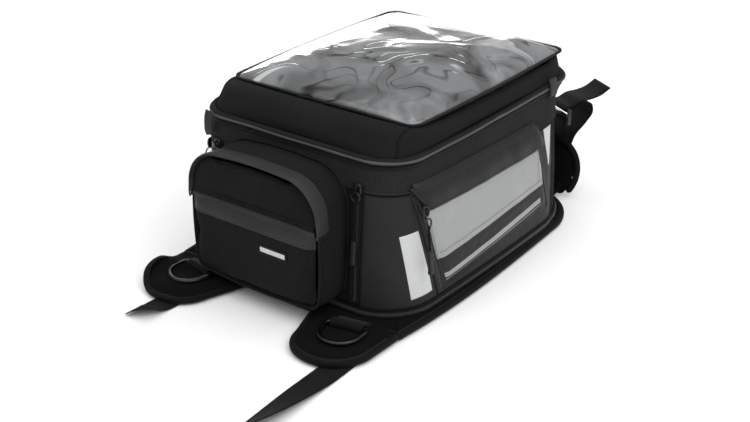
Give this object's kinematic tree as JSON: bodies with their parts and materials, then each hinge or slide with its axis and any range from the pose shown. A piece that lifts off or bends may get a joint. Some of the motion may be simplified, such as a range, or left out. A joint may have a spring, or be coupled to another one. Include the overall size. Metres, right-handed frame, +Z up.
{
  "type": "motorcycle tank bag",
  "caption": "Zipped soft bag with a clear map window in its hinged lid, front and side pockets, and corner flaps with webbing straps, buckles and D-rings.",
  "frame": {"origin": "middle of the underside of the base, on the surface that the bag rests on", "axes": "+Z up through the lid, -Y towards the end with the front pocket, +X to the right-hand side, so +Y is the hinge end of the lid"},
  "size_m": [0.3248, 0.7061, 0.2364],
  "materials": {
    "cordura": "matt woven nylon",
    "webbing": "woven polyester webbing",
    "coated_fabric": "smooth coated fabric",
    "trim_tape": "smooth grey tape",
    "reflective_fabric": "silver reflective fabric",
    "grip_rubber": "rubberised grip",
    "zip_plastic": "zip tape and chain",
    "puller_plastic": "cord with moulded end",
    "buckle_plastic": "satin acetal",
    "steel_wire": "dark nickel wire",
    "clear_pvc": "clear soft vinyl",
    "board": "stiffening board"
  },
  "bodies": {
    "bag": {"base_grip": "grip_rubber", "base_panel": "cordura", "base_zip": "zip_plastic", "main_shell": "cordura", "base_board": "board", "upper_band": "cordura", "lid_zip": "zip_plastic", "corner_zip_right": "zip_plastic", "corner_zip_left": "zip_plastic", "front_pocket": "cordura", "front_pocket_storm_flap": "trim_tape", "front_pocket_trim": "trim_tape", "front_pocket_label": "trim_tape", "front_pocket_slider": "zip_plastic", "side_pocket_right": "coated_fabric", "side_pocket_left": "coated_fabric", "side_panel_right": "reflective_fabric", "side_panel_left": "reflective_fabric", "side_zip_right": "zip_plastic", "side_zip_left": "zip_plastic", "side_stripe_right": "reflective_fabric", "side_stripe_left": "reflective_fabric"},
    "lid": {"lid_border": "cordura", "lid_piping": "trim_tape", "lid_panel": "cordura", "map_window": "clear_pvc", "lid_tab_front": "webbing", "lid_tab_rear": "webbing"},
    "front_pocket_panel": {"front_pocket_panel": "cordura"},
    "front_pocket_puller": {"front_pocket_puller": "puller_plastic"},
    "corner_slider_right": {"corner_slider_right": "zip_plastic"},
    "corner_puller_right": {"corner_puller_right": "puller_plastic"},
    "side_slider_right": {"side_slider_right": "zip_plastic"},
    "side_puller_right": {"side_puller_right": "puller_plastic"},
    "side_storm_flap_right": {"side_storm_flap_right": "coated_fabric"},
    "d_ring_right": {"d_ring_right": "steel_wire"},
    "front_flap_right": {"front_flap_right": "cordura", "d_ring_webbing_right": "webbing", "front_strap_right": "webbing"},
    "rear_flap_right": {"rear_flap_right": "cordura", "lock_tab_right": "webbing", "ladder_lock_right": "buckle_plastic", "rear_strap_right": "webbing"},
    "corner_slider_left": {"corner_slider_left": "zip_plastic"},
    "corner_puller_left": {"corner_puller_left": "puller_plastic"},
    "side_slider_left": {"side_slider_left": "zip_plastic"},
    "side_puller_left": {"side_puller_left": "puller_plastic"},
    "side_storm_flap_left": {"side_storm_flap_left": "coated_fabric"},
    "d_ring_left": {"d_ring_left": "steel_wire"},
    "front_flap_left": {"front_flap_left": "cordura", "d_ring_webbing_left": "webbing", "front_strap_left": "webbing"},
    "rear_flap_left": {"rear_flap_left": "cordura", "lock_tab_left": "webbing", "ladder_lock_left": "buckle_plastic", "rear_strap_left": "webbing"}
  },
  "joints": [
    {"name": "lid_hinge", "type": "hinge", "parent": "bag", "child": "lid", "pos_m": [0, 0.1852, 0.1815], "axis": [-1, 0, 0], "range_deg": [0, 100]},
    {"name": "front_pocket_panel_hinge", "type": "hinge", "parent": "bag", "child": "front_pocket_panel", "pos_m": [-0.01, -0.237, 0.1184], "axis": [1, 0, 0], "range_deg": [0, 75]},
    {"name": "front_pocket_puller_swing", "type": "hinge", "parent": "bag", "child": "front_pocket_puller", "pos_m": [-0.1018, -0.225, 0.106], "axis": [0, 1, 0], "range_deg": [0, 90]},
    {"name": "corner_slider_right_run", "type": "slide", "parent": "bag", "child": "corner_slider_right", "axis": [0, -0.0733, -0.9973], "range_m": [0, 0.048]},
    {"name": "corner_puller_right_swing", "type": "hinge", "parent": "corner_slider_right", "child": "corner_puller_right", "pos_m": [0.095, -0.18906, 0.15], "axis": [-1, 0, 0], "range_deg": [0, 90]},
    {"name": "side_slider_right_run", "type": "slide", "parent": "bag", "child": "side_slider_right", "axis": [0.0838, 0.2687, -0.9596], "range_m": [0, 0.04]},
    {"name": "side_puller_right_swing", "type": "hinge", "parent": "side_slider_right", "child": "side_puller_right", "pos_m": [0.15517, -0.147, 0.123], "axis": [0, -1, 0], "range_deg": [0, 90]},
    {"name": "side_storm_flap_right_hinge", "type": "hinge", "parent": "bag", "child": "side_storm_flap_right", "pos_m": [0.14787, -0.039, 0.155], "axis": [-0.0276, -0.9993, 0.0252], "range_deg": [0, 70]},
    {"name": "front_flap_right_fold", "type": "hinge", "parent": "bag", "child": "front_flap_right", "pos_m": [0.1, -0.204, 0.0024], "axis": [-1, 0, 0], "range_deg": [-60, 8]},
    {"name": "d_ring_right_swing", "type": "hinge", "parent": "front_flap_right", "child": "d_ring_right", "pos_m": [0.106, -0.224, 0.0134], "axis": [-0.9848, -0.1736, 0], "range_deg": [0, 100]},
    {"name": "rear_flap_right_fold", "type": "hinge", "parent": "bag", "child": "rear_flap_right", "pos_m": [0.079, 0.214, 0.0015], "axis": [-1, 0, 0], "range_deg": [-8, 70]},
    {"name": "corner_slider_left_run", "type": "slide", "parent": "bag", "child": "corner_slider_left", "axis": [0, -0.0657, -0.9978], "range_m": [0, 0.036]},
    {"name": "corner_puller_left_swing", "type": "hinge", "parent": "corner_slider_left", "child": "corner_puller_left", "pos_m": [-0.11003, -0.18702, 0.15], "axis": [-0.9568, 0.2907, 0], "range_deg": [0, 90]},
    {"name": "side_slider_left_run", "type": "slide", "parent": "bag", "child": "side_slider_left", "axis": [-0.0838, 0.2687, -0.9596], "range_m": [0, 0.04]},
    {"name": "side_puller_left_swing", "type": "hinge", "parent": "side_slider_left", "child": "side_puller_left", "pos_m": [-0.15517, -0.147, 0.123], "axis": [0, 1, 0], "range_deg": [0, 90]},
    {"name": "side_storm_flap_left_hinge", "type": "hinge", "parent": "bag", "child": "side_storm_flap_left", "pos_m": [-0.14787, -0.039, 0.155], "axis": [-0.0276, 0.9993, -0.0252], "range_deg": [0, 70]},
    {"name": "front_flap_left_fold", "type": "hinge", "parent": "bag", "child": "front_flap_left", "pos_m": [-0.1, -0.204, 0.0024], "axis": [-1, 0, 0], "range_deg": [-60, 8]},
    {"name": "d_ring_left_swing", "type": "hinge", "parent": "front_flap_left", "child": "d_ring_left", "pos_m": [-0.106, -0.224, 0.0134], "axis": [-0.9848, 0.1736, 0], "range_deg": [0, 28]},
    {"name": "rear_flap_left_fold", "type": "hinge", "parent": "bag", "child": "rear_flap_left", "pos_m": [-0.079, 0.214, 0.0015], "axis": [-1, 0, 0], "range_deg": [-8, 70]}
  ]
}
